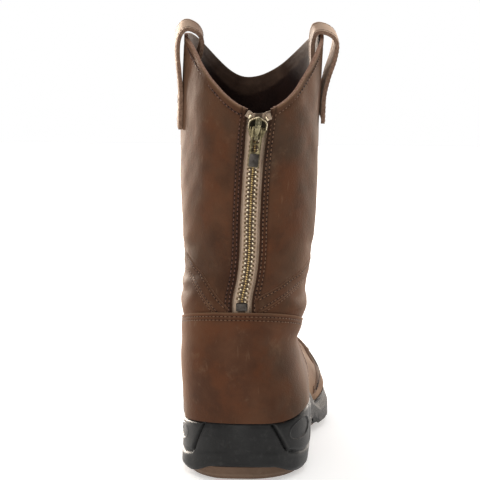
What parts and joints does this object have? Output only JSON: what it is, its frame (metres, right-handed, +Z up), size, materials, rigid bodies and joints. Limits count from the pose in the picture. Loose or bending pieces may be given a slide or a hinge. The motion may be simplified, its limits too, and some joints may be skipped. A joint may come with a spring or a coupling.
{
  "type": "pull-on moc toe work boot",
  "caption": "Right pull-on leather work boot with a moc toe seam, scalloped shaft, side pull straps, a zip up the back and a moulded cup sole.",
  "frame": {"origin": "middle of the heel tread, on the floor", "axes": "+X to the outer (lateral) side, +Y from the heel to the toe, +Z up"},
  "size_m": [0.1215, 0.3061, 0.3005],
  "materials": {
    "leather": "oiled, distressed full grain leather with a dull shine",
    "leather_edge": "raw cut leather edge",
    "midsole_rubber": "satin moulded rubber",
    "outsole_rubber": "matt tread rubber",
    "footbed": "matt lining cloth",
    "tape": "woven zip tape",
    "brass": "antique brass",
    "dark_brass": "dark antique brass"
  },
  "bodies": {
    "boot": {"outsole": "outsole_rubber", "midsole": "midsole_rubber", "toe_guard": "midsole_rubber", "insole": "footbed", "upper": "leather", "heel_counter": "leather", "ankle_band": "leather", "moc_seam": "leather_edge", "pull_strap_lateral": "leather", "pull_strap_medial": "leather", "zip_tape": "tape", "zip_chain": "brass", "zip_bottom_stop": "dark_brass", "zip_slider": "dark_brass"},
    "pull_tab": {"zip_pull_tab": "dark_brass"}
  },
  "joints": [
    {"name": "pull_tab_swing", "type": "hinge", "parent": "boot", "child": "pull_tab", "pos_m": [0.01004, -0.04674, 0.23717], "axis": [-0.9851, -0.1238, 0.1192], "range_deg": [-7, 155]}
  ]
}
